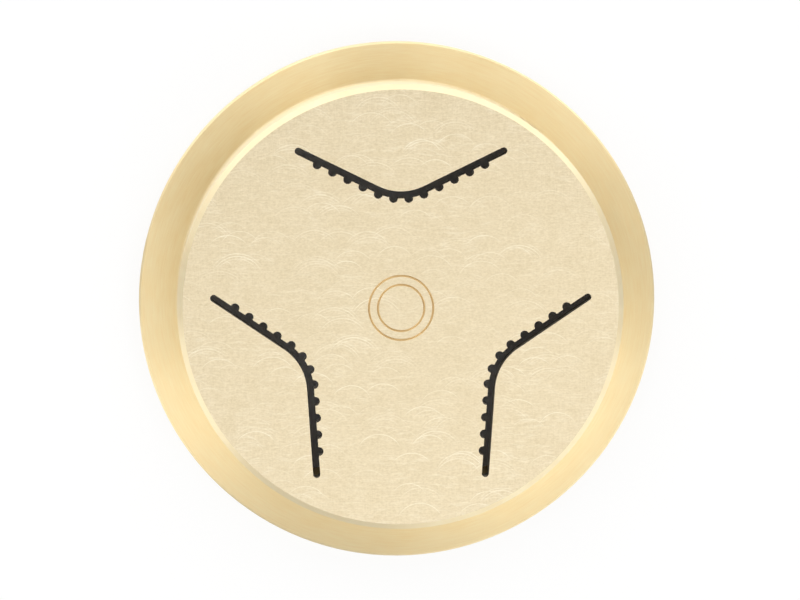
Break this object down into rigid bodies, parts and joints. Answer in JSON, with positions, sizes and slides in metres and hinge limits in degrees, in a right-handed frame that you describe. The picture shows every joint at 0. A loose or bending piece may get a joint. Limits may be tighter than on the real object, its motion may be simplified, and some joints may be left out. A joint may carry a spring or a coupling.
{
  "type": "pasta extrusion die",
  "caption": "Turned brass pasta die: a clamping flange under a raised round boss, with bent slots and rib notches through its face and a feed pocket behind each slot.",
  "frame": {"origin": "centre of the inlet face, on the die's axis, where the die rests", "axes": "+Z along the axis towards the extrusion face, +Y through the bend of the first slot"},
  "size_m": [0.059, 0.059, 0.014],
  "materials": {
    "brass": "sanded face, turned flange and boss"
  },
  "bodies": {
    "root": {"die": "brass"}
  },
  "joints": []
}
